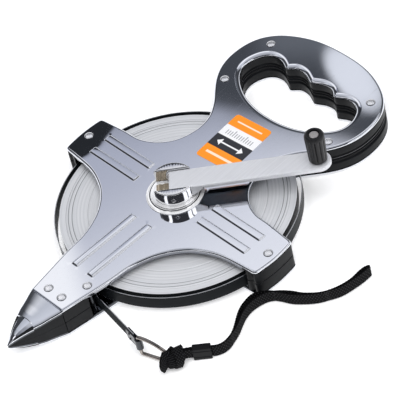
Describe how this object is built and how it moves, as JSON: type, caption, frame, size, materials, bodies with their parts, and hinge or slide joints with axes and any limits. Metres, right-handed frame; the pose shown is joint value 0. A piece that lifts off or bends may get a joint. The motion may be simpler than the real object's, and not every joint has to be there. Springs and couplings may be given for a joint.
{
  "type": "surveyor tape reel",
  "caption": "Open-frame surveyor's tape reel: four-armed plated frame, ring handle, wound steel blade, fold-over crank with turning knob, pointed nose, end ring and wrist strap.",
  "frame": {"origin": "reel axle, in the plane of the rear ribs the reel lies on", "axes": "+X from the axle to the handle, +Y to the left arm, +Z out of the front plate along the axle"},
  "size_m": [0.3192, 0.2326, 0.0626],
  "materials": {
    "chrome_plate": "bright chromed sheet",
    "chrome_hardware": "polished chrome",
    "black_housing": "fine-textured moulded plastic",
    "drum_plastic": "moulded plastic",
    "steel": "turned steel",
    "tape_steel": "edges of the wound blade",
    "tape_blade": "dark lacquered steel blade",
    "crank_alloy": "satin brushed",
    "spring_brass": "rolled spring strip",
    "ring_wire": "drawn wire",
    "knob_plastic": "fluted moulded plastic",
    "label_vinyl": "printed vinyl",
    "webbing": "woven webbing",
    "crimp_plastic": "moulded plastic"
  },
  "bodies": {
    "frame": {"front_plate": "chrome_plate", "rear_plate": "chrome_plate", "handle_housing_front": "black_housing", "handle_housing_rear": "black_housing", "left_arm_block_front": "black_housing", "left_arm_block_rear": "black_housing", "right_arm_block_front": "black_housing", "right_arm_block_rear": "black_housing", "nose_housing_front": "black_housing", "nose_housing_rear": "black_housing", "nose_tip_core": "black_housing", "nose_cap_front": "chrome_plate", "nose_cap_rear": "chrome_plate", "rivet_handle_left_inner": "chrome_hardware", "rivet_handle_right_inner": "chrome_hardware", "rivet_handle_left_outer": "chrome_hardware", "rivet_handle_right_outer": "chrome_hardware", "rivet_left_arm": "chrome_hardware", "rivet_right_arm": "chrome_hardware", "rivet_nose_left": "chrome_hardware", "rivet_nose_right": "chrome_hardware", "guide_roller_pin": "chrome_hardware", "front_bush": "chrome_hardware", "rear_bush": "chrome_hardware", "capacity_label": "label_vinyl"},
    "guide_roller": {"guide_roller": "steel"},
    "reel": {"drum": "drum_plastic", "drum_roll_pin": "steel", "axle": "steel", "thrust_washer_front": "steel", "thrust_washer_rear": "steel", "tape_anchor_rivet": "steel", "tape_coil": "tape_steel", "tape_outer_turn": "tape_blade", "crank_head": "chrome_hardware", "crank_hinge_pin": "steel", "detent_leaf_spring": "spring_brass"},
    "crank": {"crank_arm": "crank_alloy", "knob_pin": "steel", "knob_washer": "steel"},
    "knob": {"knob": "knob_plastic"},
    "tape_end": {"tape_leader": "tape_blade", "tape_end_clip": "steel"},
    "wrist_loop": {"end_ring": "ring_wire", "strap_hitch": "webbing", "strap_crimp": "crimp_plastic", "wrist_strap": "webbing"}
  },
  "joints": [
    {"name": "reel_spin", "type": "hinge", "parent": "frame", "child": "reel", "pos_m": [0, 0, 0.0116], "axis": [0, 0, 1], "continuous": true},
    {"name": "crank_fold", "type": "hinge", "parent": "reel", "child": "crank", "pos_m": [0, 0, 0.0335], "axis": [-0.6717, -0.7408, 0], "range_deg": [0, 180]},
    {"name": "knob_spin", "type": "hinge", "parent": "crank", "child": "knob", "pos_m": [0.0726, -0.06583, 0.05], "axis": [0, 0, 1], "continuous": true},
    {"name": "guide_roller_spin", "type": "hinge", "parent": "frame", "child": "guide_roller", "pos_m": [-0.0924, -0.0126, 0.01315], "axis": [0, 0, 1], "continuous": true},
    {"name": "tape_draw", "type": "slide", "parent": "frame", "child": "tape_end", "axis": [-0.1597, -0.9872, 0], "range_m": [0, 0.025]},
    {"name": "ring_swing", "type": "hinge", "parent": "tape_end", "child": "wrist_loop", "pos_m": [-0.0982, -0.06518, 0.0116], "axis": [0, 0, 1], "range_deg": [-60, 0]}
  ]
}
